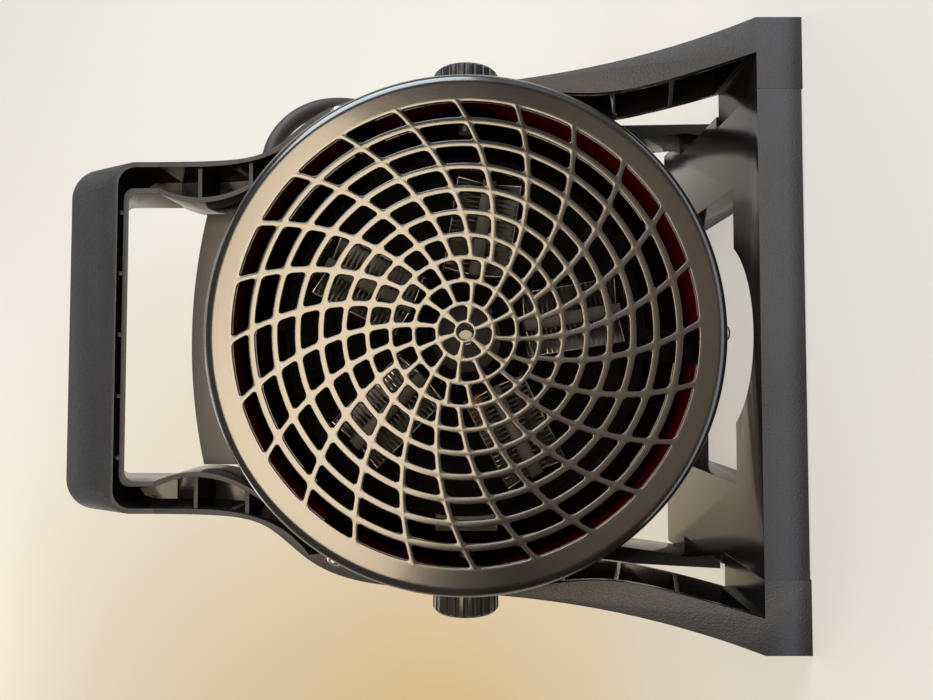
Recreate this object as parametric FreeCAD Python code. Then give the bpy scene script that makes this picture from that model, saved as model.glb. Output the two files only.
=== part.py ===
import FreeCAD, Part
import math
import os

# Ceramic fan heater: a round steel drum that tilts in a moulded stand with a carrying handle.
# Millimetres. The origin is on the floor in the middle of the footprint, +Z up; air blows out towards -Y.
# Pieces are drawn with the tilt axis at y = 0 and moved to their place at the end.

# Drum
PIVOT_HEIGHT = 118.0
DRUM_RADIUS = 91.4
DRUM_WALL = 1.0
DRUM_FRONT = 34.0
DRUM_REAR = 80.0

# Front grille and rear guard, pressed caps that slip over the drum's ends
CAP_RADIUS = 93.0
CAP_CLEARANCE = 0.1
SHEET = 1.5
CAP_EDGE_RADIUS = 4.0
FRONT_FACE = 38.0
REAR_FACE = 84.0
CAP_LIP = 15.0
RING_COUNTS = [6, 12, 18] + [24] * 7
GRILLE_OUTER_BAR = 83.3
RING_PITCH = 8.15
RING_BAR = 2.6
SPOKE_BAR = 2.0
HUB_HOLE = 2.6
HUB_EDGE = 0.78
HUB_BAR_RADIUS = 3.4
SPIRAL_PER_MM = 0.392
OUTER_RING_ANGLE = 1.0
INNER_RING_ANGLES = [46.9, 20.4, 3.87]
GUARD_COUNTS = [6, 10, 14, 18, 22]
GUARD_PITCH = 14.6
GUARD_BAR = 4.0
GUARD_HUB = 9.0
CAP_SCREW_ANGLES = [-90.0, 30.0, 150.0]
CAP_SCREW_INSET = 8.0
SCREW_RADIUS = 1.5
SCREW_HEAD_RADIUS = 2.8
SCREW_HEAD_HEIGHT = 2.0
SCREW_LENGTH = 6.0

# Stand
WALL = 2.5
BASE_FRONT = 41.6
BASE_REAR = 79.0
BASE_HALF_WIDTH = 110.5
TRAY_HALF_WIDTH = 85.0
BASE_HEIGHT = 16.0
TRAY_LIFT = 0.5
CORNER_DEPTH = 2.6
LEG_INNER_FOOT = 98.0
REAR_FOOT_FRONT = 49.0
ARM_FRONT = 11.0
ARM_REAR = 14.0
ARM_TOP = 238.0
BOSS_RADIUS = 14.0
BOSS_INNER = 92.6
BOSS_OUTER = 97.6
BOLT_RADIUS = 3.0
RUNNING_CLEARANCE = 0.05
TRAY_SIDE = 90.0
BAR_DEPTH = 24.6
OPENING_HALF_WIDTH = 56.0
OPENING_REAR = 62.0
CROSSBAR_TOP = 12.0
NOTCH_RADIUS = 39.2
NOTCH_DEPTH = 18.0
RIB = 1.6
ARM_WALL = 2.0
ARM_HOLLOW_FROM = 172.0
REAR_FOOT_HALF = 104.5
WINDOW_TOP = 88.0

# Handle
GRIP_TOP = 278.0
GRIP_FRONT_TOP = 256.0
GRIP_UNDERSIDE = 249.6
GRIP_SLOPE_DEPTH = 11.0
HANDLE_HALF_WIDTH = 68.4
HANDLE_INNER_HALF = 56.0
HANDLE_CORNER = 12.0
GRIP_FRONT_CORNER = 9.0
HANDLE_INNER_CORNER = 4.0
GRIP_UNDERCUT = 13.0

# Tilt knobs
WASHER = 1.0
WASHER_RADIUS = 8.0
KNOB_RADIUS = 13.0
KNOB_END = 107.6
KNOB_FLUTES = 24
FLUTE_RADIUS = 0.9
BUSH_RADIUS = 9.0
BUSH_FLANGE_RADIUS = 13.0
BUSH_GAP = 0.3

# Control housing on top of the drum
HOUSING_HALF_WIDTH = 51.2
HOUSING_FRONT = 4.0
HOUSING_REAR = 77.5
HOUSING_TOP = 112.0
HOUSING_CROWN_RADIUS = 232.7
HOUSING_WALL = 2.5
PANEL = 2.5
PANEL_SCREW_X = 45.5
PANEL_BOSS_RADIUS = 5.0
PANEL_BOSS_LENGTH = 10.0
DIAL_SPACING = 52.0
DIAL_HEIGHT = 100.3
DIAL_RADIUS = 10.0
DIAL_LENGTH = 14.0
DIAL_GAP = 0.3
SHAFT_RADIUS = 3.0
SWITCH_SIDE = 13.0
SWITCH_DEPTH = 22.0

# Heater, fan and motor
HEATER_PLANE = 18.0
HEATER_SHEET = 1.2
HEATER_RADIUS = 68.0
HEATER_STRAP = 12.0
STRAP_ANGLE = 27.0
MODULE_COUNT = 5
MODULE_ANGLE = -9.0
MODULE_INNER = 22.0
MODULE_LENGTH = 36.0
MODULE_WIDTH = 24.0
MODULE_DEPTH = 14.0
CERAMIC_BAR = 5.0
FINS_PER_SIDE = 12
FIN = 0.5
HEATER_BORE = 14.0
FAN_RADIUS = 74.0
FAN_HUB_RADIUS = 14.0
FAN_HUB_LENGTH = 22.0
FAN_FRONT = 0.0
FAN_BLADES = 5
BLADE = 1.6
STATOR_SIDE = 62.0
STATOR_FRONT = 34.0
STATOR_DEPTH = 24.0
ROTOR_RADIUS = 14.0
AIR_GAP = 0.5
MOUNT_PLANE = 68.0
MOUNT_SHEET = 2.0
MOUNT_WIDTH = 30.0
MOUNT_TAB = 10.0

# Mains lead
CORD_DIAMETER = 8.0
GLAND_Y = 60.0
GLAND_HEIGHT = 98.0
GLAND_LENGTH = 20.0
GLAND_RADIUS = 7.0
COIL_CENTRE = (44.7, 160.0)
COIL_INNER = 36.5
COIL_PITCH = 9.0
COIL_TURNS_PER_LAYER = 1.75
COIL_LAYER = 8.6
TIE_SHEET = 1.2
TIE_WIDTH = 5.0
PLUG_RADIUS = 18.0
PLUG_LENGTH = 34.0
PLUG_NECK = 20.0
PIN_RADIUS = 2.4
PIN_LENGTH = 19.0
PIN_SPACING = 19.0

V = FreeCAD.Vector
X, Y, Z = V(1, 0, 0), V(0, 1, 0), V(0, 0, 1)
BIG = 600.0
PIVOT_Y = (BASE_FRONT - HOUSING_REAR - PANEL - DIAL_GAP - DIAL_LENGTH) / 2


def drum_point(x, y, z):
    """A point given from the tilt axis instead of the floor."""
    return V(x, y, z + PIVOT_HEIGHT)


def cylinder(base, direction, radius, length):
    return Part.makeCylinder(radius, length, base, direction)


def tube(base, direction, outer, inner, length):
    return cylinder(base, direction, outer, length).cut(cylinder(base, direction, inner, length))


def box(low, high):
    return Part.makeBox(high[0] - low[0], high[1] - low[1], high[2] - low[2], V(*low))


def prism(points, direction):
    """A closed outline of corner points carried along a direction."""
    return Part.Face(Part.makePolygon(points + [points[0]])).extrude(direction)


def mirrored(shape):
    return shape.mirror(V(0, 0, 0), X)


def fuse(shapes):
    return shapes[0].multiFuse(shapes[1:]).removeSplitter()


def turned(shape, angle):
    """A copy of a drum piece turned about the drum's axis, anticlockwise seen from the front."""
    copy = shape.copy()
    copy.rotate(drum_point(0, 0, 0), Y, -angle)
    return copy


def polar(radius, angle, y):
    """A point on the drum's end at a radius and an angle, anticlockwise seen from the front."""
    a = math.radians(angle)
    return drum_point(radius * math.cos(a), y, radius * math.sin(a))


def smooth(points):
    curve = Part.BSplineCurve()
    curve.interpolate(points)
    return curve.toShape()


# Pressed caps

def slot_hole(inner, outer, start, end, y):
    """One opening between two ring bars and two spokes; start and end give a spoke's angle at a radius."""
    def half(radius):
        return math.degrees(SPOKE_BAR / 2 / radius)

    left_in, left_out = start(inner) + half(inner), start(outer) + half(outer)
    right_in, right_out = end(inner) - half(inner), end(outer) - half(outer)
    a, b = polar(inner, left_in, y), polar(outer, left_out, y)
    c, d = polar(outer, right_out, y), polar(inner, right_in, y)
    return Part.Wire([
        Part.LineSegment(a, b).toShape(),
        Part.Arc(b, polar(outer, (left_out + right_out) / 2, y), c).toShape(),
        Part.LineSegment(c, d).toShape(),
        Part.Arc(d, polar(inner, (left_in + right_in) / 2, y), a).toShape(),
    ])


def perforated_disc(radius, y, thickness, holes):
    rim = Part.Wire([Part.makeCircle(radius, drum_point(0, y, 0), Y)])
    return Part.makeFace([rim] + holes, "Part::FaceMakerBullseye").extrude(Y * thickness)


def grille_holes(y):
    """The spiral net: rings of openings whose spokes lean with the radius."""
    holes = [Part.Wire([Part.makeCircle(HUB_HOLE, drum_point(0, y, 0), Y)])]
    last = len(RING_COUNTS)
    for ring, count in enumerate(RING_COUNTS, start=1):
        outer_bar = GRILLE_OUTER_BAR - RING_PITCH * (last - ring)
        inner_bar = outer_bar - RING_PITCH if ring > 1 else HUB_BAR_RADIUS
        middle = outer_bar - RING_PITCH / 2
        step = 360.0 / count
        if ring <= len(INNER_RING_ANGLES):
            first = INNER_RING_ANGLES[ring - 1]
        else:
            first = OUTER_RING_ANGLE - SPIRAL_PER_MM * RING_PITCH * (last - ring)
        inner = inner_bar + (RING_BAR / 2 if ring > 1 else HUB_EDGE)
        for k in range(count):
            def spoke(radius, k=k):
                return first + step * k + SPIRAL_PER_MM * (radius - middle)

            def next_spoke(radius, k=k):
                return spoke(radius, k + 1)

            holes.append(slot_hole(inner, outer_bar - RING_BAR / 2, spoke, next_spoke, y))
    return holes


def guard_holes(y):
    """The air inlet: plain rings of long slots."""
    holes = []
    for ring, count in enumerate(GUARD_COUNTS):
        inner = GUARD_HUB + GUARD_PITCH * ring + GUARD_BAR / 2
        outer = GUARD_HUB + GUARD_PITCH * (ring + 1) - GUARD_BAR / 2
        step = 360.0 / count
        for k in range(count):
            holes.append(slot_hole(inner, outer, lambda r, k=k: step * k, lambda r, k=k: step * (k + 1), y))
    return holes


def cap_rim(face, towards, disc_radius):
    """The solid edge and lip of a cap, revolved; towards is the way the lip points along Y."""
    inner = DRUM_RADIUS + CAP_CLEARANCE
    back = face + towards * SHEET
    end = face + towards * CAP_LIP
    corner = CAP_EDGE_RADIUS * (1 - math.sqrt(0.5))
    arc = Part.Arc(
        drum_point(CAP_RADIUS - CAP_EDGE_RADIUS, face, 0),
        drum_point(CAP_RADIUS - corner, face + towards * corner, 0),
        drum_point(CAP_RADIUS, face + towards * CAP_EDGE_RADIUS, 0))
    outline = [drum_point(CAP_RADIUS, end, 0), drum_point(inner, end, 0), drum_point(inner, back, 0),
               drum_point(disc_radius, back, 0), drum_point(disc_radius, face, 0)]
    edges = [Part.LineSegment(drum_point(disc_radius, face, 0), arc.StartPoint).toShape(), arc.toShape(),
             Part.LineSegment(arc.EndPoint, outline[0]).toShape()]
    edges += [Part.LineSegment(p, q).toShape() for p, q in zip(outline, outline[1:])]
    return Part.Face(Part.Wire(edges)).revolve(drum_point(0, 0, 0), Y, 360)


def cap_screw_axis(angle, face, towards):
    """The seat of a radial cap screw on the lip, and the way it points, outwards."""
    a = math.radians(angle)
    out = V(math.cos(a), 0, math.sin(a))
    return polar(CAP_RADIUS, angle, face + towards * CAP_SCREW_INSET), out


def screw(seat, out, length=SCREW_LENGTH):
    """A pan-head screw with its head on the seat, a domed head outside and a shank inside."""
    head = cylinder(seat, out, SCREW_HEAD_RADIUS, SCREW_HEAD_HEIGHT)
    rim = [e for e in head.Edges if e.Closed and (e.CenterOfMass - seat).dot(out) > SCREW_HEAD_HEIGHT * 0.9]
    head = head.makeFillet(SCREW_HEAD_HEIGHT * 0.6, rim)
    return head.fuse(cylinder(seat - out * length, out, SCREW_RADIUS, length))


def cap(face, towards, disc_radius, holes):
    disc = perforated_disc(disc_radius, min(face, face + towards * SHEET), SHEET, holes)
    shape = fuse([disc, cap_rim(face, towards, disc_radius)])
    for angle in CAP_SCREW_ANGLES:
        seat, out = cap_screw_axis(angle, face, towards)
        shape = shape.cut(cylinder(seat - out * SCREW_LENGTH, out, SCREW_RADIUS, 2 * SCREW_LENGTH))
    return shape


def front_grille():
    y = -FRONT_FACE
    return cap(y, 1, GRILLE_OUTER_BAR + 1.5, grille_holes(y))


def rear_guard():
    holes = guard_holes(REAR_FACE - SHEET)
    return cap(REAR_FACE, -1, GUARD_HUB + GUARD_PITCH * len(GUARD_COUNTS) + 1.0, holes)


def cap_screws(face, towards):
    return Part.makeCompound([screw(*cap_screw_axis(a, face, towards)) for a in CAP_SCREW_ANGLES])


def drum_shell():
    start = drum_point(0, -DRUM_FRONT, 0)
    shell = tube(start, Y, DRUM_RADIUS, DRUM_RADIUS - DRUM_WALL, DRUM_FRONT + DRUM_REAR)
    cuts = [cylinder(drum_point(-BIG / 2, 0, 0), X, BUSH_RADIUS, BIG)]
    for face, towards in [(-FRONT_FACE, 1), (REAR_FACE, -1)]:
        for angle in CAP_SCREW_ANGLES:
            seat, out = cap_screw_axis(angle, face, towards)
            cuts.append(cylinder(seat - out * 2 * SCREW_LENGTH, out, SCREW_RADIUS, 3 * SCREW_LENGTH))
    cuts.append(cylinder(drum_point(0, HOUSING_FRONT + 14.0, 0), Z, GLAND_RADIUS, BIG))
    return shell.cut(Part.makeCompound(cuts))


# Stand: seen from the front the side frames follow two flowing lines, and from the side an upturned V

OUTER_LINE = [(BASE_HALF_WIDTH, BASE_HEIGHT), (104.0, 40.0), (98.8, 72.0), (96.6, 118.0), (96.0, 142.0),
              (86.0, 178.0), (72.5, 196.0), (69.0, 213.0), (HANDLE_HALF_WIDTH, ARM_TOP)]
INNER_LINE = [(LEG_INNER_FOOT, BASE_HEIGHT), (92.3, 40.0), (88.8, 68.0), (93.6, 101.0), (93.6, 134.0),
              (81.0, 172.0), (66.0, 190.0), (56.0, 206.0), (HANDLE_INNER_HALF, ARM_TOP)]


def front_band(side, outer_in, inner_out):
    """The space between one side's two flowing lines, each moved into the wall, right through in depth."""
    outer = [V(side * (x - outer_in), -BIG / 2, z) for x, z in OUTER_LINE]
    inner = [V(side * (x + inner_out), -BIG / 2, z) for x, z in INNER_LINE]
    foot_outer, foot_inner = V(outer[0].x, -BIG / 2, 0), V(inner[0].x, -BIG / 2, 0)
    wire = Part.Wire([
        smooth(outer), Part.LineSegment(outer[-1], inner[-1]).toShape(), smooth(inner[::-1]),
        Part.LineSegment(inner[0], foot_inner).toShape(), Part.LineSegment(foot_inner, foot_outer).toShape(),
        Part.LineSegment(foot_outer, outer[0]).toShape()])
    return Part.Face(wire).extrude(Y * BIG)


def arm_hollow(side):
    """The hollow of an arm, open in front, with two thin stiffeners left across it."""
    y0 = -BIG / 2
    outer = [V(side * (x - ARM_WALL), y0, z) for x, z in OUTER_LINE if z > ARM_HOLLOW_FROM]
    inner = [V(side * (x + ARM_WALL), y0, z) for x, z in INNER_LINE if z >= ARM_HOLLOW_FROM]
    wire = Part.Wire([
        smooth(outer), Part.LineSegment(outer[-1], inner[-1]).toShape(), smooth(inner[::-1]),
        Part.LineSegment(inner[0], outer[0]).toShape()])
    hollow = Part.Face(wire).extrude(Y * (ARM_REAR - ARM_WALL - y0))
    for z in (202.0, 222.0):
        hollow = hollow.cut(box((-BIG, -ARM_FRONT + WALL, z), (BIG, BIG, z + RIB)))
    return hollow


def side_prism(points):
    """An outline seen from the side, as y and z, carried right across."""
    return prism([V(-BIG / 2, y, z) for y, z in points], X * BIG)


def side_outline():
    """The stand from the side: front leg, rear leg and the arm above the tilt axis."""
    return side_prism([
        (-BASE_FRONT, 0), (-BASE_FRONT, BASE_HEIGHT), (-16.0, PIVOT_HEIGHT), (-ARM_FRONT, 150.0),
        (-ARM_FRONT, ARM_TOP), (ARM_REAR, ARM_TOP), (ARM_REAR, 150.0), (17.0, PIVOT_HEIGHT), (BASE_REAR, 0),
        (REAR_FOOT_FRONT, 0), (17.0, WINDOW_TOP), (5.5, WINDOW_TOP), (-CORNER_DEPTH, BASE_HEIGHT),
        (-CORNER_DEPTH, 0)])


def front_leg_hollow(side):
    """The hollow of the front leg, open towards the drum, with thin stiffeners left across it."""
    low = BASE_HEIGHT + WALL
    hollow = side_prism([(-BASE_FRONT + WALL + 1.5, low), (-19.0, 96.0), (2.0, WINDOW_TOP),
                         (-CORNER_DEPTH - WALL, low)]).common(front_band(side, WALL, -WALL))
    for z in (40.0, 62.0, 82.0):
        rib = box((-BIG, -90.0, -RIB / 2), (BIG, 90.0, RIB / 2))
        rib.rotate(V(0, 0, 0), X, -14)
        rib.translate(V(0, -20.0, z))
        hollow = hollow.cut(rib)
    return hollow


def side_frame(side):
    frame = side_outline().common(front_band(side, 0, 0))
    outside = ((REAR_FOOT_HALF, 0), (BIG, 0), (BIG, 60.0), (96.0, 60.0))
    slim = prism([V(side * x, 30.0, z) for x, z in outside], Y * BIG)
    frame = frame.cut(front_leg_hollow(side)).cut(arm_hollow(side)).cut(slim)
    near, far = sorted((side * TRAY_HALF_WIDTH, side * (LEG_INNER_FOOT + WALL)))
    corner = box((near, -BASE_FRONT, 0), (far, -CORNER_DEPTH, BASE_HEIGHT))
    boss = cylinder(drum_point(side * BOSS_INNER, 0, 0), X * side, BOSS_RADIUS, BOSS_OUTER - BOSS_INNER)
    frame = fuse([frame, corner, boss])
    bolt_bore = cylinder(drum_point(0, 0, 0), X * side, BOLT_RADIUS + RUNNING_CLEARANCE, BIG)
    return frame.cut(bolt_bore).cut(screw_bores())


def bow_wire(half_width, top, corner, y):
    """The handle's outline at one depth: two legs and a grip with round corners."""
    k = corner * (1 - math.sqrt(0.5))
    left, right = -half_width, half_width
    return Part.Wire([
        Part.LineSegment(V(left, y, ARM_TOP), V(left, y, top - corner)).toShape(),
        Part.Arc(V(left, y, top - corner), V(left + k, y, top - k), V(left + corner, y, top)).toShape(),
        Part.LineSegment(V(left + corner, y, top), V(right - corner, y, top)).toShape(),
        Part.Arc(V(right - corner, y, top), V(right - k, y, top - k), V(right, y, top - corner)).toShape(),
        Part.LineSegment(V(right, y, top - corner), V(right, y, ARM_TOP)).toShape(),
        Part.LineSegment(V(right, y, ARM_TOP), V(left, y, ARM_TOP)).toShape()])


def bow(half_width, top, corner, y0, y1):
    return Part.Face(bow_wire(half_width, top, corner, y0)).extrude(Y * (y1 - y0))


def hand_gap(wall):
    """The space under the grip, drawn in by a wall: its roof rises towards the rear."""
    half, roof = HANDLE_INNER_HALF + wall, GRIP_UNDERSIDE + wall
    front = bow_wire(half, roof, HANDLE_INNER_CORNER, -ARM_FRONT)
    rear = bow_wire(half, roof + GRIP_UNDERCUT, HANDLE_INNER_CORNER, ARM_REAR)
    return Part.makeLoft([front, rear], True, True)


def carry_handle():
    """The grip's top slopes up from its front edge; its front is an open channel with ribs."""
    slope_end = -ARM_FRONT + GRIP_SLOPE_DEPTH
    low_corner = GRIP_FRONT_CORNER
    front = bow_wire(HANDLE_HALF_WIDTH, GRIP_FRONT_TOP, low_corner, -ARM_FRONT)
    middle = bow_wire(HANDLE_HALF_WIDTH, GRIP_TOP, HANDLE_CORNER, slope_end)
    body = [Part.makeLoft([front, middle], True, True),
            bow(HANDLE_HALF_WIDTH, GRIP_TOP, HANDLE_CORNER, slope_end, ARM_REAR)]
    channel = bow(HANDLE_HALF_WIDTH - ARM_WALL, GRIP_FRONT_TOP - ARM_WALL, low_corner - ARM_WALL, -ARM_FRONT,
                  ARM_REAR - ARM_WALL)
    channel = channel.cut(hand_gap(ARM_WALL))
    for i in range(5):
        x = (i - 2) * 24.0
        channel = channel.cut(box((x, -ARM_FRONT + 2.0, GRIP_UNDERSIDE), (x + RIB, BIG, GRIP_TOP)))
    return fuse(body).cut(hand_gap(0)).cut(channel)


def tray_block(inset, z0, z1):
    """The base tray, drawn in by a wall: front bar, side rails, low cross-bar and ears to the rear legs."""
    i = inset
    bar_back = -BASE_FRONT + BAR_DEPTH
    front = box((-TRAY_HALF_WIDTH + i, -BASE_FRONT + i, z0), (TRAY_HALF_WIDTH - i, bar_back - i, z1))
    centre = V(0, bar_back - NOTCH_DEPTH + NOTCH_RADIUS, z0)
    shapes = [front.cut(cylinder(centre, Z, NOTCH_RADIUS + i, z1 - z0)),
              box((-TRAY_SIDE + i, OPENING_REAR + i, z0),
                  (TRAY_SIDE - i, BASE_REAR - i, z1 - BASE_HEIGHT + CROSSBAR_TOP))]
    for side in (-1, 1):
        for inner, outer, start in ((OPENING_HALF_WIDTH, TRAY_HALF_WIDTH, -BASE_FRONT),
                                    (OPENING_HALF_WIDTH, TRAY_SIDE, 0.0),
                                    (OPENING_HALF_WIDTH, LEG_INNER_FOOT, REAR_FOOT_FRONT + 2.0)):
            low, high = sorted((side * (inner + i), side * (outer - i)))
            shapes.append(box((low, start + i, z0), (high, BASE_REAR - i, z1)))
    return fuse(shapes)


def base_tray():
    return tray_block(0, TRAY_LIFT, BASE_HEIGHT).cut(tray_block(WALL, 0, BASE_HEIGHT - WALL))


def base_screws():
    """Screws from inside the tray's ends into the feet of the side frames."""
    screws = []
    for side in (-1, 1):
        for x, y in ((TRAY_HALF_WIDTH, -BASE_FRONT + 12.0), (LEG_INNER_FOOT, BASE_REAR - 15.0)):
            screws.append(screw(V(side * (x - WALL), y, BASE_HEIGHT / 2 - 1.0), X * -side, 6.0))
    return Part.makeCompound(screws)


def screw_bores():
    """The holes for the base screws, with the shank's own radius."""
    bores = []
    for side in (-1, 1):
        for x, y in ((TRAY_HALF_WIDTH, -BASE_FRONT + 12.0), (LEG_INNER_FOOT, BASE_REAR - 15.0)):
            start = V(side * (x - WALL), y, BASE_HEIGHT / 2 - 1.0)
            bores.append(cylinder(start, X * side, SCREW_RADIUS, 6.0))
    return Part.makeCompound(bores)


# Tilt pivots

def pivot_bush():
    outer = BOSS_INNER - BUSH_GAP
    inner = DRUM_RADIUS - 4.5
    bush = cylinder(drum_point(inner, 0, 0), X, BUSH_RADIUS, outer - inner)
    flange = cylinder(drum_point(inner, 0, 0), X, BUSH_FLANGE_RADIUS, 2.0)
    return fuse([bush, flange]).cut(cylinder(drum_point(0, 0, 0), X, BOLT_RADIUS + RUNNING_CLEARANCE, BIG))


def tilt_bolt():
    start = DRUM_RADIUS - 8.0
    return cylinder(drum_point(start, 0, 0), X, BOLT_RADIUS, KNOB_END - 3.0 - start)


def tilt_knob():
    """A fluted hand knob with a dished end, moulded round the bolt."""
    start = BOSS_OUTER + WASHER
    knob = cylinder(drum_point(start, 0, 0), X, KNOB_RADIUS, KNOB_END - start)
    end_edges = [e for e in knob.Edges if abs(e.CenterOfMass.x - KNOB_END) < 0.1 and e.Closed]
    knob = knob.makeChamfer(1.2, end_edges[:1])
    flutes = []
    for k in range(KNOB_FLUTES):
        a = 2 * math.pi * k / KNOB_FLUTES
        radius = KNOB_RADIUS + 0.2
        centre = drum_point(start + 1.0, radius * math.cos(a), radius * math.sin(a))
        flutes.append(cylinder(centre, X, FLUTE_RADIUS, BIG))
    dish = cylinder(drum_point(KNOB_END - 1.0, 0, 0), X, KNOB_RADIUS - 4.0, 5.0)
    return knob.cut(Part.makeCompound(flutes + [dish, tilt_bolt()]))


def pivot_washer():
    return tube(drum_point(BOSS_OUTER, 0, 0), X, WASHER_RADIUS, BOLT_RADIUS + RUNNING_CLEARANCE, WASHER)


# Control housing

def housing_block(inset, y0, y1):
    """The housing's outer form: straight sides, a crowned top, and a seat on the drum and the guard."""
    half = HOUSING_HALF_WIDTH - inset
    top = HOUSING_TOP - inset
    radius = HOUSING_CROWN_RADIUS - inset
    shoulder = top - radius + math.sqrt(radius ** 2 - half ** 2)
    left, right = drum_point(-half, y0, shoulder), drum_point(half, y0, shoulder)
    wire = Part.Wire([
        Part.LineSegment(drum_point(-half, y0, 0), left).toShape(),
        Part.Arc(left, drum_point(0, y0, top), right).toShape(),
        Part.LineSegment(right, drum_point(half, y0, 0)).toShape(),
        Part.LineSegment(drum_point(half, y0, 0), drum_point(-half, y0, 0)).toShape()])
    block = Part.Face(wire).extrude(Y * (y1 - y0))
    block = block.cut(cylinder(drum_point(0, -BIG / 2, 0), Y, DRUM_RADIUS, BIG))
    lip_start = REAR_FACE - CAP_LIP - 0.5
    return block.cut(cylinder(drum_point(0, lip_start, 0), Y, CAP_RADIUS + 0.3, BIG))


def dial_axes():
    return [drum_point(side * DIAL_SPACING / 2, HOUSING_REAR, DIAL_HEIGHT) for side in (-1, 1)]


def control_housing():
    shell = housing_block(0, HOUSING_FRONT, HOUSING_REAR)
    shell = shell.cut(housing_block(HOUSING_WALL, HOUSING_FRONT + HOUSING_WALL, HOUSING_REAR))
    bosses = [cylinder(p - Y * (PANEL + PANEL_BOSS_LENGTH), Y, PANEL_BOSS_RADIUS, PANEL_BOSS_LENGTH)
              for p in panel_screw_seats()]
    shell = fuse([shell] + bosses)
    cuts = [cylinder(p - Y * 9, Y, SCREW_RADIUS, 18.0) for p in panel_screw_seats()]
    cuts.append(cylinder(drum_point(0, GLAND_Y, GLAND_HEIGHT), X, GLAND_RADIUS - 2.0, BIG))
    return shell.cut(Part.makeCompound(cuts))


def control_panel():
    plate = housing_block(0, HOUSING_REAR, HOUSING_REAR + PANEL)
    holes = [cylinder(p - Y * 5, Y, SHAFT_RADIUS + RUNNING_CLEARANCE, 20.0) for p in dial_axes()]
    holes += [cylinder(p - Y * 9, Y, SCREW_RADIUS, 18.0) for p in panel_screw_seats()]
    return plate.cut(Part.makeCompound(holes))


def panel_screw_seats():
    return [drum_point(side * PANEL_SCREW_X, HOUSING_REAR + PANEL, DIAL_HEIGHT) for side in (-1, 1)]


def panel_screws():
    return Part.makeCompound([screw(p, Y, 5.0) for p in panel_screw_seats()])


def switch_body(axis):
    """A rotary control behind the panel, with the shaft's bearing in its middle."""
    half = SWITCH_SIDE / 2
    body = box((axis.x - half, axis.y - SWITCH_DEPTH, axis.z - half), (axis.x + half, axis.y, axis.z + half))
    bore_start = axis - Y * (SWITCH_DEPTH - 4.0)
    return body.cut(cylinder(bore_start, Y, SHAFT_RADIUS + RUNNING_CLEARANCE, SWITCH_DEPTH))


def dial_shaft(axis):
    inside = SWITCH_DEPTH - 5.0
    return cylinder(axis - Y * inside, Y, SHAFT_RADIUS, inside + PANEL + DIAL_LENGTH - 4.0)


def dial(axis):
    """A round knob with a finger bar across its face."""
    start = axis + Y * (PANEL + DIAL_GAP)
    skirt = cylinder(start, Y, DIAL_RADIUS, 4.0)
    reach = DIAL_RADIUS - 1.5
    bar = box(start - V(3.2, 0, reach), start + V(3.2, DIAL_LENGTH, reach))
    bar = bar.common(cylinder(start, Y, DIAL_RADIUS - 1.0, DIAL_LENGTH))
    return fuse([skirt, bar]).cut(dial_shaft(axis))


def terminal_block():
    low = drum_point(-11.0, HOUSING_FRONT + 26.0, DRUM_RADIUS)
    return box((low.x, low.y, low.z), (low.x + 22.0, low.y + 18.0, low.z + 14.0))


def cord_gland():
    """A tapered strain relief on the housing's right side, with its collar inside the wall."""
    wall_in = HOUSING_HALF_WIDTH - HOUSING_WALL
    start = drum_point(HOUSING_HALF_WIDTH, GLAND_Y, GLAND_HEIGHT)
    cone = Part.makeCone(GLAND_RADIUS, CORD_DIAMETER / 2 + 1.2, GLAND_LENGTH, start, X)
    neck = cylinder(drum_point(wall_in, GLAND_Y, GLAND_HEIGHT), X, GLAND_RADIUS - 2.0, HOUSING_WALL)
    collar = cylinder(drum_point(wall_in - 4.0, GLAND_Y, GLAND_HEIGHT), X, GLAND_RADIUS - 1.0, 4.0)
    return fuse([cone, neck, collar])


# Heater

def module_frame(k):
    return MODULE_ANGLE + 360.0 / MODULE_COUNT * k


def heater_plate():
    """A steel disc with a window for each element, a bore in the middle and three straps to the shell."""
    y = -HEATER_PLANE
    z = PIVOT_HEIGHT
    disc = cylinder(drum_point(0, y, 0), Y, HEATER_RADIUS, HEATER_SHEET)
    half = HEATER_STRAP / 2
    strap = box((HEATER_RADIUS - 8.0, y, z - half), (BIG, y + HEATER_SHEET, z + half))
    straps = [turned(strap, STRAP_ANGLE + 120.0 * k) for k in range(3)]
    round_shell = cylinder(drum_point(0, y, 0), Y, DRUM_RADIUS - DRUM_WALL, HEATER_SHEET)
    half = MODULE_WIDTH / 2
    window = box((MODULE_INNER, y, z - half), (MODULE_INNER + MODULE_LENGTH, y + HEATER_SHEET, z + half))
    cuts = [turned(window, module_frame(k)) for k in range(MODULE_COUNT)]
    cuts.append(cylinder(drum_point(0, y, 0), Y, HEATER_BORE, HEATER_SHEET))
    return fuse([disc] + straps).common(round_shell).cut(Part.makeCompound(cuts))


def ptc_modules():
    """Ceramic heating bars, each with a row of aluminium fins on both sides, set through the windows."""
    y0, y1 = -HEATER_PLANE - MODULE_DEPTH / 2, -HEATER_PLANE + MODULE_DEPTH / 2
    end = MODULE_INNER + MODULE_LENGTH
    z = PIVOT_HEIGHT
    solids = [box((MODULE_INNER, y0, z - CERAMIC_BAR / 2), (end, y1, z + CERAMIC_BAR / 2))]
    pitch = (MODULE_LENGTH - FIN) / (FINS_PER_SIDE - 1)
    for k in range(FINS_PER_SIDE):
        x = MODULE_INNER + pitch * k
        solids.append(box((x, y0 + 1.0, z - MODULE_WIDTH / 2), (x + FIN, y1 - 1.0, z + MODULE_WIDTH / 2)))
    module = fuse(solids)
    return Part.makeCompound([turned(module, module_frame(k)) for k in range(MODULE_COUNT)])


def thermal_cutout():
    seat = polar(58.0, module_frame(1) + 36.0, -HEATER_PLANE)
    return cylinder(seat, -Y, 8.0, 6.0).fuse(cylinder(seat - Y * 6.0, -Y, 5.0, 3.0))


# Fan and motor

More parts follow.
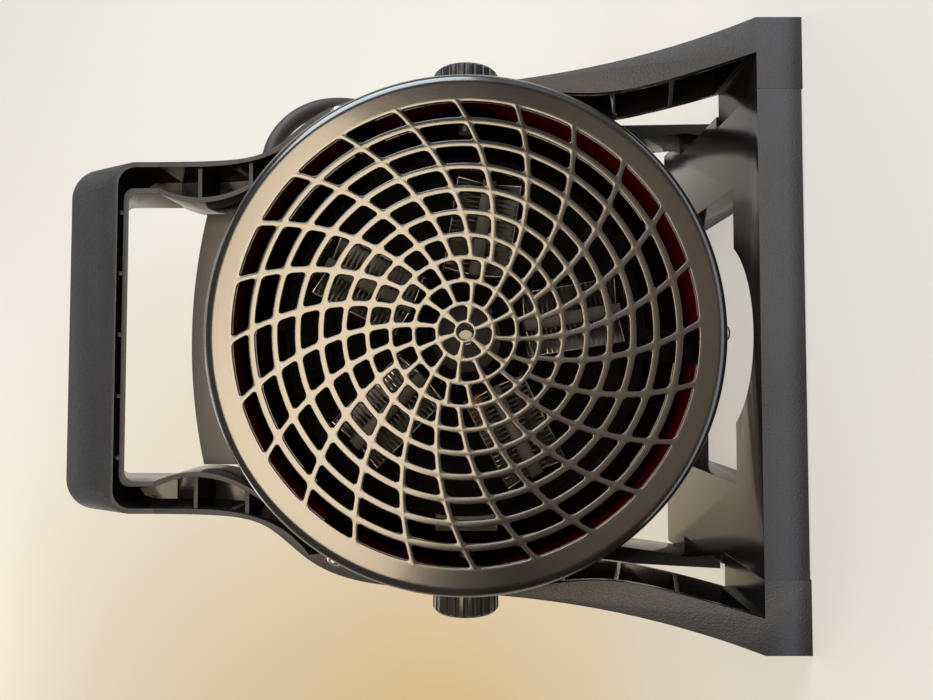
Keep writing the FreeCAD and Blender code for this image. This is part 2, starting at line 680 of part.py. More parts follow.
def blade_section(radius, pitch, chord):
    """A flat blade section at a radius, leaning by the pitch angle."""
    a = math.radians(pitch)
    along = V(0, -math.sin(a), math.cos(a)) * (chord / 2)
    across = V(0, math.cos(a), math.sin(a)) * (BLADE / 2)
    centre = drum_point(radius, -FAN_FRONT + FAN_HUB_LENGTH / 2, 0)
    return Part.makePolygon([centre - along - across, centre + along - across, centre + along + across,
                             centre - along + across, centre - along - across])


def fan_impeller():
    hub = cylinder(drum_point(0, -FAN_FRONT, 0), Y, FAN_HUB_RADIUS, FAN_HUB_LENGTH)
    root = FAN_HUB_RADIUS - 3.0
    sections = [(root, 48.0, 15.0), (FAN_RADIUS * 0.55, 33.0, 34.0), (FAN_RADIUS, 24.0, 46.0)]
    blade = Part.makeLoft([blade_section(*s) for s in sections], True, True)
    fan = fuse([hub] + [turned(blade, 360.0 / FAN_BLADES * k) for k in range(FAN_BLADES)])
    return fan.cut(cylinder(drum_point(0, -BIG / 2, 0), Y, SHAFT_RADIUS, BIG))


def motor_shaft():
    front = -FAN_FRONT - 2.0
    shaft = cylinder(drum_point(0, front, 0), Y, SHAFT_RADIUS, MOUNT_PLANE - 1.0 - front)
    rotor = cylinder(drum_point(0, STATOR_FRONT + 2.0, 0), Y, ROTOR_RADIUS, STATOR_DEPTH - 4.0)
    return fuse([shaft, rotor])


def motor_stator():
    half = STATOR_SIDE / 2
    rear = STATOR_FRONT + STATOR_DEPTH
    core = box((-half, STATOR_FRONT, PIVOT_HEIGHT - half), (half, rear, PIVOT_HEIGHT + half))
    core = core.makeFillet(8.0, [e for e in core.Edges if abs(e.tangentAt(e.FirstParameter).y) > 0.9])
    cuts = [cylinder(drum_point(0, 0, 0), Y, ROTOR_RADIUS + AIR_GAP, BIG)]
    for side in (-1, 1):
        x = side * 22.0
        cuts.append(box((x - 4.0, 0, PIVOT_HEIGHT - 14.0), (x + 4.0, BIG, PIVOT_HEIGHT + 14.0)))
    cuts += [cylinder(p - Y * BIG / 2, Y, SCREW_RADIUS, BIG) for p in motor_bolt_points()]
    return core.cut(Part.makeCompound(cuts))


def motor_bolt_points():
    return [drum_point(0, MOUNT_PLANE + MOUNT_SHEET, side * 25.0) for side in (-1, 1)]


def motor_coils():
    """The copper windings on the two outer limbs of the core."""
    coils = []
    for side in (-1, 1):
        low, high = STATOR_FRONT - 5.0, STATOR_FRONT + STATOR_DEPTH + 5.0
        inner, outer = side * 18.2, side * 36.0
        x0, x1 = min(inner, outer), max(inner, outer)
        limb = box((min(side * 26.0, side * 31.0), STATOR_FRONT, PIVOT_HEIGHT - 13.5),
                   (max(side * 26.0, side * 31.0), STATOR_FRONT + STATOR_DEPTH, PIVOT_HEIGHT + 13.5))
        coil = box((x0, low, PIVOT_HEIGHT - 13.5), (x1, high, PIVOT_HEIGHT + 13.5))
        coil = coil.makeFillet(3.0, [e for e in coil.Edges if abs(e.tangentAt(e.FirstParameter).z) > 0.9])
        coils.append(coil.cut(limb))
    return Part.makeCompound(coils)


def bearing_bracket(y):
    """A strip across the core with a bearing for the shaft in its middle."""
    strip = box((-7.0, y, PIVOT_HEIGHT - 29.0), (7.0, y + MOUNT_SHEET, PIVOT_HEIGHT + 29.0))
    bearing = cylinder(drum_point(0, y - 1.0, 0), Y, 7.0, MOUNT_SHEET + 2.0)
    cuts = [cylinder(p - Y * BIG / 2, Y, SCREW_RADIUS, BIG) for p in motor_bolt_points()]
    cuts.append(cylinder(drum_point(0, -BIG / 2, 0), Y, SHAFT_RADIUS + RUNNING_CLEARANCE, BIG))
    return fuse([strip, bearing]).cut(Part.makeCompound(cuts))


def motor_mount():
    """A strap from wall to wall that carries the motor on two pillars."""
    reach = math.sqrt((DRUM_RADIUS - DRUM_WALL) ** 2 - (MOUNT_WIDTH / 2) ** 2)
    half = MOUNT_WIDTH / 2
    z = PIVOT_HEIGHT
    front, rear = MOUNT_PLANE, MOUNT_PLANE + MOUNT_SHEET
    strap = box((-reach, front, z - half), (reach, rear, z + half))
    upright = box((-7.0, front, z - 30.0), (7.0, rear, z + 30.0))
    tabs = [box((x, front - MOUNT_TAB, z - half), (x + MOUNT_SHEET, front, z + half))
            for x in (-reach, reach - MOUNT_SHEET)]
    back = STATOR_FRONT + STATOR_DEPTH + MOUNT_SHEET
    pillars = [cylinder(V(p.x, back, p.z), Y, 4.0, MOUNT_PLANE - back) for p in motor_bolt_points()]
    holes = [cylinder(p - Y * BIG / 2, Y, SCREW_RADIUS, BIG) for p in motor_bolt_points()]
    return fuse([strap, upright] + tabs + pillars).cut(Part.makeCompound(holes))


def motor_screws():
    length = MOUNT_PLANE + MOUNT_SHEET - STATOR_FRONT + MOUNT_SHEET
    return Part.makeCompound([screw(p, Y, length) for p in motor_bolt_points()])


# Mains lead: a drop to the floor behind the right leg, then a coil of the spare length

GLAND_END = HOUSING_HALF_WIDTH + GLAND_LENGTH
CORD_EXIT = drum_point(GLAND_END, GLAND_Y, GLAND_HEIGHT)
COIL_OUTER = COIL_INNER + COIL_PITCH * COIL_TURNS_PER_LAYER
COIL_FLOOR = CORD_DIAMETER / 2 + TIE_SHEET + 0.1
COIL_TURNS = 2 * COIL_TURNS_PER_LAYER + 0.5
COIL_START = V(COIL_CENTRE[0] + COIL_OUTER, COIL_CENTRE[1], COIL_FLOOR)
COIL_END = COIL_START + Z * COIL_LAYER
DROP_ROUTE = [
    CORD_EXIT, CORD_EXIT + V(22, 0, 0), CORD_EXIT + V(41, 4.4, -10.1), CORD_EXIT + V(52.5, 12.4, -28.3),
    CORD_EXIT + V(52.5, 23.6, -54), V(118, 90, 119.6), V(116, 92, 80), V(112, 98, 45), V(104.5, 113, 19),
    V(COIL_START.x, 135, COIL_FLOOR), COIL_START]
PLUG_SEAT = V(COIL_CENTRE[0] - 14.0, COIL_CENTRE[1] + 74.0, PLUG_RADIUS)
TAIL_ROUTE = [COIL_END, COIL_END + V(0, 24, 0.6), COIL_END + V(-12, 50, 2.0), V(COIL_END.x - 34.0, PLUG_SEAT.y, PLUG_SEAT.z),
              PLUG_SEAT]


def rounded_path(route):
    """Straight runs joined by tangent arcs, each as large as its two runs allow; prints the least radius."""
    edges, radii, here = [], [], route[0]
    for before, corner, after in zip(route, route[1:], route[2:]):
        back, ahead = before - corner, after - corner
        shorter = min(back.Length, ahead.Length)
        turn = math.pi - back.getAngle(ahead)
        cut = 0.45 * shorter
        radii.append(cut / math.tan(turn / 2))
        back.normalize()
        ahead.normalize()
        start, end = corner + back * cut, corner + ahead * cut
        bisector = back + ahead
        bisector.normalize()
        depth = radii[-1] / math.cos(turn / 2) - radii[-1]
        edges.append(Part.LineSegment(here, start).toShape())
        edges.append(Part.Arc(start, corner + bisector * depth, end).toShape())
        here = end
    edges.append(Part.LineSegment(here, route[-1]).toShape())
    print("cord radii, mm:", [round(r) for r in radii])
    return Part.Wire(edges)


def cord_tube(path):
    """The round lead swept along a path."""
    start = path.Edges[0]
    tangent = start.tangentAt(start.FirstParameter)
    section = Part.Wire([Part.makeCircle(CORD_DIAMETER / 2, start.valueAt(start.FirstParameter), tangent)])
    solid = path.makePipeShell([section], True, False)
    area = math.pi * (CORD_DIAMETER / 2) ** 2
    print("lead, mm:", round(path.Length), "volume share:", round(solid.Volume / (area * path.Length), 4))
    return solid


def coil_point(turns):
    """The coil's centre line: in on the floor, up a layer in half a turn, and out again on top."""
    climb = turns - COIL_TURNS_PER_LAYER
    share = min(max(climb / 0.5, 0.0), 1.0)
    if climb < 0:
        radius = COIL_INNER - COIL_PITCH * climb
    else:
        radius = COIL_INNER + COIL_PITCH * max(climb - 0.5, 0.0)
    radius -= 2.0 * math.sin(math.pi * share) ** 2
    height = COIL_FLOOR + COIL_LAYER * (share - math.sin(2 * math.pi * share) / (2 * math.pi))
    a = 2 * math.pi * turns
    return V(COIL_CENTRE[0] + radius * math.cos(a), COIL_CENTRE[1] + radius * math.sin(a), height)


def tangent_arc(start, tangent, end):
    """The arc from start, leaving along the tangent, to end."""
    chord = end - start
    along = V(chord).normalize()
    angle = tangent.getAngle(along)
    side = tangent - along * tangent.dot(along)
    side.normalize()
    crown = (start + end) * 0.5 + side * (chord.Length / 2 * math.tan(angle / 2))
    return Part.Arc(start, crown, end).toShape()


def biarc(p0, t0, p1, t1):
    """Two arcs that join two points smoothly, leaving and arriving along the tangents."""
    v = p1 - p0
    a = 2 * (t0.dot(t1) - 1)
    b = -2 * v.dot(t0 + t1)
    c = v.dot(v)
    d = (-b - math.sqrt(b * b - 4 * a * c)) / (2 * a)
    joint = (p0 + t0 * d + p1 - t1 * d) * 0.5
    first = tangent_arc(p0, t0, joint)
    return [first, tangent_arc(joint, first.tangentAt(first.LastParameter), p1)]


def coil_path():
    steps = int(COIL_TURNS * 4)
    marks = [COIL_TURNS * k / steps for k in range(steps + 1)]
    small = 0.001
    points = [coil_point(m) for m in marks]
    tangents = [(coil_point(m + small) - coil_point(m - small)).normalize() for m in marks]
    tangents[0] = V(Y)
    tangents[-1] = V(Y)
    edges = []
    for p0, t0, p1, t1 in zip(points, tangents, points[1:], tangents[1:]):
        edges += biarc(p0, t0, p1, t1)
    samples = [coil_point(COIL_TURNS * k / 400.0) for k in range(401)]
    apart = int(400 / COIL_TURNS / 2)
    least = min((samples[i] - samples[j]).Length for i in range(401) for j in range(i + apart, 401))
    print("least gap in the coil, mm:", round(least - CORD_DIAMETER, 2))
    return Part.Wire(edges)


def cord_tie():
    """A flat strap round the coil's left side."""
    outer = COIL_OUTER + CORD_DIAMETER / 2 + 1.0
    inner = COIL_INNER - CORD_DIAMETER / 2 - 2.5
    top = COIL_FLOOR + COIL_LAYER + CORD_DIAMETER / 2 + 0.3
    cx, cy = COIL_CENTRE
    half = TIE_WIDTH / 2
    ring = box((cx - outer - TIE_SHEET, cy - half, 0), (cx - inner + TIE_SHEET, cy + half, top + TIE_SHEET))
    return ring.cut(box((cx - outer, cy - TIE_WIDTH, TIE_SHEET), (cx - inner, cy + TIE_WIDTH, top)))


def plug_body():
    """A straight two-pin plug with a finger waist and a tapered neck round the lead."""
    back = PLUG_SEAT - X * PLUG_NECK
    neck = Part.makeCone(CORD_DIAMETER / 2 + 1.2, 8.0, PLUG_NECK, PLUG_SEAT, -X)
    waist = Part.makeCone(13.0, PLUG_RADIUS, PLUG_LENGTH * 0.6, back, -X)
    head = cylinder(back - X * PLUG_LENGTH * 0.6, -X, PLUG_RADIUS, PLUG_LENGTH * 0.4)
    return fuse([neck, waist, head])


def plug_pins():
    face = PLUG_SEAT - X * (PLUG_NECK + PLUG_LENGTH)
    return Part.makeCompound([cylinder(face + Y * side * PIN_SPACING / 2, -X, PIN_RADIUS, PIN_LENGTH)
                              for side in (-1, 1)])


def parts():
    left_axis, right_axis = dial_axes()
    knob, bolt = tilt_knob(), tilt_bolt()
    bush, washer = pivot_bush(), pivot_washer()
    return {
        "right_side_frame": side_frame(1), "left_side_frame": side_frame(-1), "carry_handle": carry_handle(),
        "base_tray": base_tray().cut(screw_bores()), "base_screws": base_screws(),
        "pivot_washers": Part.makeCompound([washer, mirrored(washer)]),
        "right_tilt_knob": knob, "left_tilt_knob": mirrored(knob),
        "right_tilt_bolt": bolt, "left_tilt_bolt": mirrored(bolt),
        "pivot_bushes": Part.makeCompound([bush, mirrored(bush)]),
        "drum_shell": drum_shell(), "front_grille": front_grille(), "rear_guard": rear_guard(),
        "grille_screws": cap_screws(-FRONT_FACE, 1), "guard_screws": cap_screws(REAR_FACE, -1),
        "control_housing": control_housing(), "control_panel": control_panel(),
        "panel_screws": panel_screws(),
        "thermostat": switch_body(right_axis), "mode_switch": switch_body(left_axis),
        "thermostat_shaft": dial_shaft(right_axis), "mode_shaft": dial_shaft(left_axis),
        "thermostat_dial": dial(right_axis), "mode_dial": dial(left_axis),
        "terminal_block": terminal_block(), "cord_gland": cord_gland(),
        "heater_plate": heater_plate(), "ptc_modules": ptc_modules(), "thermal_cutout": thermal_cutout(),
        "fan_impeller": fan_impeller(), "motor_shaft": motor_shaft(), "motor_stator": motor_stator(),
        "motor_coils": motor_coils(),
        "front_bearing_bracket": bearing_bracket(STATOR_FRONT - MOUNT_SHEET),
        "rear_bearing_bracket": bearing_bracket(STATOR_FRONT + STATOR_DEPTH),
        "motor_mount": motor_mount(), "motor_screws": motor_screws(),
        "power_cord": cord_tube(rounded_path(DROP_ROUTE)), "cord_coil": cord_tube(coil_path()),
        "cord_tail": cord_tube(rounded_path(TAIL_ROUTE)), "cord_tie": cord_tie(),
        "plug_body": plug_body(), "plug_pins": plug_pins(),
    }


os.makedirs("parts", exist_ok=True)
for node, shape in parts().items():
    print(node, "solids", len(shape.Solids), "valid", shape.isValid(), "volume", round(shape.Volume))
    shape.translate(V(0, PIVOT_Y, 0))
    shape.exportStep("parts/%s.step" % node)
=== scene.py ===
import math

import bmesh
import bpy
import numpy as np
from mathutils import Matrix, Vector


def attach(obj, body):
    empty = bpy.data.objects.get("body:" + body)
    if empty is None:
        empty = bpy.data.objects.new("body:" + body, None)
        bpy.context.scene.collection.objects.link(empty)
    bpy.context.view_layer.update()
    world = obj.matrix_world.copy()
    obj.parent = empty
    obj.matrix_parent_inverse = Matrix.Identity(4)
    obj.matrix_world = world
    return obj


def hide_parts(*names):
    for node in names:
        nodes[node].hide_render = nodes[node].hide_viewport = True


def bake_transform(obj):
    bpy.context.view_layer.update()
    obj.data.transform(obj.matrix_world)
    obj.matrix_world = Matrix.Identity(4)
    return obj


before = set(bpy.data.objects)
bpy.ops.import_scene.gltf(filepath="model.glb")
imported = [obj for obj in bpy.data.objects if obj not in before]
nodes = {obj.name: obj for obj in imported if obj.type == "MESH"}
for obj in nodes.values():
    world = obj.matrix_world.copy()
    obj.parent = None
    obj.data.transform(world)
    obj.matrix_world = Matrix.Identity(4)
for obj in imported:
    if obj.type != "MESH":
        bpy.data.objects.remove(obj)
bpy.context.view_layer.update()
scene = bpy.context.scene
scene.view_settings.view_transform = "Standard"

# The view: the camera stands nearly level, about 25 cm in front of the grille, and is rolled a quarter
# turn, so that the handle comes at the left of the picture and the base at its right.
PIVOT = np.array([0.0, -0.02635, 0.118])
SENSOR, PICTURE_WIDTH, FOCAL_PIXELS = 36.0, 933.0, 727.0
YAW, PITCH = math.radians(2.21), math.radians(-0.16)
CAMERA_X, CAMERA_BEFORE_PIVOT, CAMERA_Z = -0.0162, 0.2924, 0.1169
camera = bpy.data.objects.new("camera", bpy.data.cameras.new("camera"))
scene.collection.objects.link(camera)
camera.data.sensor_width = SENSOR
camera.data.lens = SENSOR * FOCAL_PIXELS / PICTURE_WIDTH
camera.data.clip_start = 0.01
turn = Matrix.Rotation(YAW, 3, "Z") @ Matrix.Rotation(PITCH, 3, "X")
right = turn.transposed() @ Vector((0.0, 0.0, -1.0))
up = turn.transposed() @ Vector((1.0, 0.0, 0.0))
ahead = turn.transposed() @ Vector((0.0, 1.0, 0.0))
pose = Matrix((right, up, -ahead)).transposed().to_4x4()
pose.translation = Vector((CAMERA_X, PIVOT[1] - CAMERA_BEFORE_PIVOT, CAMERA_Z))
camera.matrix_world = pose
scene.camera = camera


# The table: a pale cream sheet that runs level under the heater and curves up behind it, with a tan
# cloud of painted shadow at one side. It is one profile in depth and height, carried straight across.
TABLE_REACH, LEVEL_ROW, BEND_START, BEND_RADIUS = 3.0, -0.30, 0.25, 0.5
PAINTED_SHADOW_CENTRE, PAINTED_SHADOW_EDGE, CREAM_EDGE, CLOUDINESS = (-0.55, 0.6, 0.12), 0.24, 1.0, 0.18
PAINTED_SHADOW_TAN, CREAM = (0.67, 0.51, 0.28, 1.0), (0.82, 0.80, 0.745, 1.0)
UNLIT_FRONT, FRONT_EDGE = (0.02, 0.018, 0.015, 1.0), 0.05
TABLE_LIFT = 0.6


def sheet_mesh(name, points):
    """A grid of points (rows, columns, 3) with each four neighbours joined by a quad."""
    rows, columns = points.shape[:2]
    index = np.arange(rows * columns).reshape(rows, columns)
    quads = np.stack([index[:-1, :-1], index[:-1, 1:], index[1:, 1:], index[1:, :-1]], axis=-1)
    mesh = bpy.data.meshes.new(name)
    mesh.from_pydata(points.reshape(-1, 3).tolist(), [], quads.reshape(-1, 4).tolist())
    mesh.update()
    return mesh


def piece(name, mesh):
    """An object for a mesh or a curve, at the origin."""
    made = bpy.data.objects.new(name, mesh)
    scene.collection.objects.link(made)
    return made


def shade_faces(made, smooth):
    """All faces of a piece are shaded smooth, or all flat."""
    made.data.polygons.foreach_set("use_smooth", np.full(len(made.data.polygons), smooth))


def fill(tree, socket, value):
    """A socket is linked where a node's output is given, and set where a plain value is."""
    if isinstance(value, bpy.types.NodeSocket):
        tree.links.new(value, socket)
    else:
        socket.default_value = value


def node(tree, kind, **inputs):
    """A shader node with its inputs filled by name."""
    made = tree.nodes.new(kind)
    for name, value in inputs.items():
        fill(tree, made.inputs[name.replace("_", " ")], value)
    return made


def arithmetic(tree, operation, *values, clamp=False):
    """The result of a sum on sockets and numbers, kept between 0 and 1 where asked."""
    made = tree.nodes.new("ShaderNodeMath")
    made.operation = operation
    made.use_clamp = clamp
    for socket, value in zip(made.inputs, values):
        fill(tree, socket, value)
    return made.outputs[0]


def measure(tree, operation, *vectors):
    """A length or a distance, from sockets and plain points."""
    made = tree.nodes.new("ShaderNodeVectorMath")
    made.operation = operation
    for socket, vector in zip(made.inputs, vectors):
        fill(tree, socket, vector)
    return made.outputs["Value"]


def mixed_colour(tree, share, first, second):
    """The first colour, turned into the second as the share goes from 0 to 1."""
    made = tree.nodes.new("ShaderNodeMix")
    made.data_type = "RGBA"
    fill(tree, made.inputs["Factor"], share)
    fill(tree, made.inputs[6], first)
    fill(tree, made.inputs[7], second)
    return made.outputs[2]


def blank_material(name):
    """An empty node material with its output, and the Principled shader that feeds it."""
    made = bpy.data.materials.new(name)
    made.use_nodes = True
    made.node_tree.nodes.clear()
    out = made.node_tree.nodes.new("ShaderNodeOutputMaterial")
    shader = made.node_tree.nodes.new("ShaderNodeBsdfPrincipled")
    made.node_tree.links.new(shader.outputs["BSDF"], out.inputs["Surface"])
    return made, made.node_tree, shader


bend = np.linspace(0.0, math.pi / 2, 40)
depth = np.concatenate([[-TABLE_REACH, LEVEL_ROW], BEND_START + BEND_RADIUS * np.sin(bend),
                        [BEND_START + BEND_RADIUS]])
height = np.concatenate([[0.0, 0.0], BEND_RADIUS - BEND_RADIUS * np.cos(bend), [TABLE_REACH]])
across = np.array([-TABLE_REACH, TABLE_REACH])
table_points = np.stack(np.broadcast_arrays(across[None, :], depth[:, None], height[:, None]), axis=-1)
table = piece("table", sheet_mesh("table", table_points))
shade_faces(table, True)
table_paint, tree, shader = blank_material("pale_table")
place = node(tree, "ShaderNodeTexCoord").outputs["Object"]
cloud = node(tree, "ShaderNodeTexNoise", Vector=place, Scale=2.2, Detail=1.0)
# Painted shadow: the table is painted tan round one point, turning cream further off, with a noisy edge.
away = measure(tree, "DISTANCE", place, PAINTED_SHADOW_CENTRE)
drift = arithmetic(tree, "MULTIPLY_ADD", cloud.outputs["Fac"], CLOUDINESS, away)
spread = node(tree, "ShaderNodeMapRange", Value=drift, From_Min=PAINTED_SHADOW_EDGE, From_Max=CREAM_EDGE)
tone = node(tree, "ShaderNodeValToRGB", Fac=spread.outputs["Result"])
tone.color_ramp.elements[0].color = PAINTED_SHADOW_TAN
tone.color_ramp.elements[1].color = CREAM
# The heater lay on its back, so nothing pale stood before its grille: the front of the table throws no light.
seen = node(tree, "ShaderNodeLightPath").outputs
apart = node(tree, "ShaderNodeSeparateXYZ", Vector=place)
front = node(tree, "ShaderNodeMapRange", Value=apart.outputs["Y"], From_Min=FRONT_EDGE, From_Max=-FRONT_EDGE)
in_front = front.outputs["Result"]
unlit = arithmetic(tree, "SUBTRACT", in_front, seen["Is Camera Ray"], clamp=True)
fill(tree, shader.inputs["Base Color"], mixed_colour(tree, unlit, tone.outputs["Color"], UNLIT_FRONT))
shader.inputs["Roughness"].default_value = 0.5
# The camera, and what mirrors the table's back, see it evenly bright.
glow = node(tree, "ShaderNodeEmission", Color=tone.outputs["Color"], Strength=1.0)
mirrored = arithmetic(tree, "SUBTRACT", seen["Is Glossy Ray"], in_front, clamp=True)
shown_to = arithmetic(tree, "MAXIMUM", seen["Is Camera Ray"], mirrored)
both = node(tree, "ShaderNodeMixShader", Fac=arithmetic(tree, "MULTIPLY", shown_to, TABLE_LIFT))
tree.links.new(shader.outputs["BSDF"], both.inputs[1])
tree.links.new(glow.outputs["Emission"], both.inputs[2])
tree.links.new(both.outputs["Shader"], tree.nodes["Material Output"].inputs["Surface"])
table.data.materials.append(table_paint)


# The light: a cool window at the right of the grille, a leaning warm wall before it, soft lamps above
# and behind, a thin strip on the table that lights the base's front, and an even room, shown pale.
ROOM_COLOUR, ROOM_LIGHT, ROOM_SHOWN = (1.0, 0.97, 0.93, 1.0), 0.165, 0.6


def soft_lamp(name, place, aim, size, along, power, colour):
    """An oblong lamp that faces its aim, its long side laid as near to the given direction as it can be."""
    lamp = bpy.data.lights.new(name, "AREA")
    lamp.shape = "RECTANGLE"
    lamp.size, lamp.size_y = size
    lamp.energy = power
    lamp.color = colour
    made = bpy.data.objects.new(name, lamp)
    scene.collection.objects.link(made)
    back = (Vector(place) - Vector(aim)).normalized()
    flat = (Vector(along) - Vector(along).dot(back) * back).normalized()
    facing = Matrix((flat, back.cross(flat), back)).transposed().to_4x4()
    made.visible_camera = False
    made.matrix_world = Matrix.Translation(place) @ facing


soft_lamp("window", place=(0.95, -0.50, 0.47), aim=(0.0, 0.0, 0.10), size=(0.8, 0.8),
          along=(0.0, 0.0, 1.0), power=15.0, colour=(0.82, 0.91, 1.0))
soft_lamp("warm_wall", place=(0.02, -1.2, 0.39), aim=(0.0, 0.0, 0.13), size=(0.92, 0.56),
          along=(0.94, 0.0, -0.34), power=15.0, colour=(1.0, 0.80, 0.56))
soft_lamp("top", place=(0.2, 0.5, 1.6), aim=(0.0, 0.3, 0.1), size=(1.2, 1.2),
          along=(1.0, 0.0, 0.0), power=5.0, colour=(1.0, 0.98, 0.95))
soft_lamp("base_glow", place=(0.015, -0.084, 0.002), aim=(0.015, -0.084, 0.5), size=(0.27, 0.024),
          along=(1.0, 0.0, 0.0), power=0.034, colour=(0.80, 0.90, 1.0))
soft_lamp("rear", place=(-0.30, 0.55, 1.0), aim=(0.0, 0.05, 0.12), size=(0.6, 0.5),
          along=(1.0, 0.0, 0.0), power=3.0, colour=(1.0, 0.97, 0.93))
room = bpy.data.worlds.new("room")
room.use_nodes = True
scene.world = room
tree = room.node_tree
seen = node(tree, "ShaderNodeLightPath").outputs
level = arithmetic(tree, "MULTIPLY_ADD", seen["Is Camera Ray"], ROOM_SHOWN, ROOM_LIGHT)
fill(tree, tree.nodes["Background"].inputs["Color"], ROOM_COLOUR)
fill(tree, tree.nodes["Background"].inputs["Strength"], level)


# The stand: two side frames, a handle and a base tray, moulded in charcoal plastic with a fine spark
# texture outside and a polished inside, painted darker as shade in the recesses. The edges are softly
# rounded by the mould.
STAND_EDGE, EDGE_ANGLE = 0.0008, math.radians(32.0)
BAND, BANDS = 0.004, 81
FRONT_TILT, OUTWARD_TILT, HANDLE_TOP = -0.6, 0.25, 0.252


def value_group(name, outputs, **sockets):
    """An empty shader node group with float inputs and their first values, and float outputs."""
    group = bpy.data.node_groups.new(name, "ShaderNodeTree")
    for label, value in sockets.items():
        made = group.interface.new_socket(label, in_out="INPUT", socket_type="NodeSocketFloat")
        made.default_value = value
    for label in outputs:
        group.interface.new_socket(label, in_out="OUTPUT", socket_type="NodeSocketFloat")
    return group, group.nodes.new("NodeGroupInput"), group.nodes.new("NodeGroupOutput")


# Spark texture: two noises, a fine one for the grain and a slow one for the drift of tone.
spark, spark_in, spark_out = value_group("spark_texture", ("Grain", "Tone"),
                                         Grain_scale=2600.0, Tone_scale=18.0)
place = node(spark, "ShaderNodeTexCoord").outputs["Object"]
fine = node(spark, "ShaderNodeTexNoise", Vector=place, Scale=spark_in.outputs["Grain_scale"], Detail=2.0)
slow = node(spark, "ShaderNodeTexNoise", Vector=place, Scale=spark_in.outputs["Tone_scale"], Detail=3.0)
spark.links.new(fine.outputs["Fac"], spark_out.inputs["Grain"])
spark.links.new(slow.outputs["Fac"], spark_out.inputs["Tone"])


def textured_finish(name, dark, light, rough, grain, drift, bump, metallic=0.0, specular=0.5):
    """A finish between two colours, by half the grain and half the drift.

    Its roughness follows the drift, and its surface carries the grain as a fine relief.
    """
    made, tree, shader = blank_material(name)
    texture = tree.nodes.new("ShaderNodeGroup")
    texture.node_tree = spark
    texture.inputs["Grain_scale"].default_value = grain
    texture.inputs["Tone_scale"].default_value = drift
    half_tone = arithmetic(tree, "MULTIPLY", texture.outputs["Tone"], 0.5)
    mixed = arithmetic(tree, "MULTIPLY_ADD", texture.outputs["Grain"], 0.5, half_tone)
    colour = node(tree, "ShaderNodeValToRGB", Fac=mixed)
    for stop, position, tint in zip(colour.color_ramp.elements, (0.32, 0.68), (dark, light)):
        stop.position = position
        stop.color = (*tint, 1.0)
    gloss = node(tree, "ShaderNodeMapRange", Value=texture.outputs["Tone"], To_Min=rough[0], To_Max=rough[1])
    relief = node(tree, "ShaderNodeBump", Height=texture.outputs["Grain"], Strength=bump, Distance=0.0002)
    tree.links.new(colour.outputs["Color"], shader.inputs["Base Color"])
    tree.links.new(gloss.outputs["Result"], shader.inputs["Roughness"])
    tree.links.new(relief.outputs["Normal"], shader.inputs["Normal"])
    shader.inputs["Metallic"].default_value = metallic
    shader.inputs["Specular IOR Level"].default_value = specular
    return made


def soft_edged(name, width, body, material):
    """A copy of a solid with its doubled points merged and its edges rounded; it stands for the piece."""
    mesh = nodes[name].data.copy()
    mesh.name = name + "_soft"
    made = piece(name + "_soft", mesh)
    bpy.ops.object.select_all(action="DESELECT")
    made.select_set(True)
    bpy.context.view_layer.objects.active = made
    bpy.ops.object.mode_set(mode="EDIT")
    bpy.ops.mesh.select_all(action="SELECT")
    bpy.ops.mesh.remove_doubles(threshold=1e-6)
    bpy.ops.mesh.dissolve_limited(angle_limit=math.radians(1.0))
    bpy.ops.object.mode_set(mode="OBJECT")
    round_edges = made.modifiers.new("round", "BEVEL")
    round_edges.width = width
    round_edges.segments = 3
    round_edges.limit_method = "ANGLE"
    round_edges.angle_limit = EDGE_ANGLE
    round_edges.harden_normals = True
    shade_faces(made, True)
    made.data.materials.clear()
    made.data.materials.append(material)
    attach(made, body)
    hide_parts(name)
    return made


def read_points(collection, field):
    """One vector of each face or point of a mesh, as rows of three."""
    values = np.zeros(len(collection) * 3)
    collection.foreach_get(field, values)
    return values.reshape(-1, 3)


def polish_and_shade_inside(made, polished_and_shaded):
    """Faces neither on the front skin nor turned outwards take the polished finish, painted darker as shade.

    The front skin is the least depth in each band of height and in the bands next to it.
    """
    mesh = made.data
    normal, centre = read_points(mesh.polygons, "normal"), read_points(mesh.polygons, "center")
    points = read_points(mesh.vertices, "co")
    band = np.clip((points[:, 2] / BAND).astype(int), 0, BANDS - 1)
    skin = np.full(BANDS + 1, np.inf)
    np.minimum.at(skin, band, points[:, 1])
    skin[1:-1] = np.minimum(skin[1:-1], np.minimum(skin[:-2], skin[2:]))
    here = np.clip((centre[:, 2] / BAND).astype(int), 0, BANDS - 1)
    on_front = (normal[:, 1] < FRONT_TILT) & (centre[:, 1] - skin[here] < BAND)
    sideways = np.sign(centre[:, 0]) * normal[:, 0] > OUTWARD_TILT
    upwards = (normal[:, 2] > OUTWARD_TILT) & (centre[:, 2] > HANDLE_TOP)
    outside = on_front | sideways | upwards
    mesh.materials.append(polished_and_shaded)
    mesh.polygons.foreach_set("material_index", np.where(outside, 0, 1).astype(np.int32))


charcoal = textured_finish("charcoal_moulding", dark=(0.014, 0.0155, 0.019), light=(0.033, 0.036, 0.044),
                           rough=(0.38, 0.54), grain=1500.0, drift=16.0, bump=1.0, specular=0.38)
# The inside is painted darker than the outside: painted shade in the recesses, on a real polished finish.
polished_and_shaded = textured_finish("polished_shaded_moulding", dark=(0.006, 0.006, 0.007), light=(0.011, 0.010, 0.011),
                           rough=(0.12, 0.18), grain=700.0, drift=10.0, bump=0.02, specular=0.3)
for name in ("right_side_frame", "left_side_frame", "carry_handle", "base_tray"):
    polish_and_shade_inside(soft_edged(name, STAND_EDGE, "stand", charcoal), polished_and_shaded)


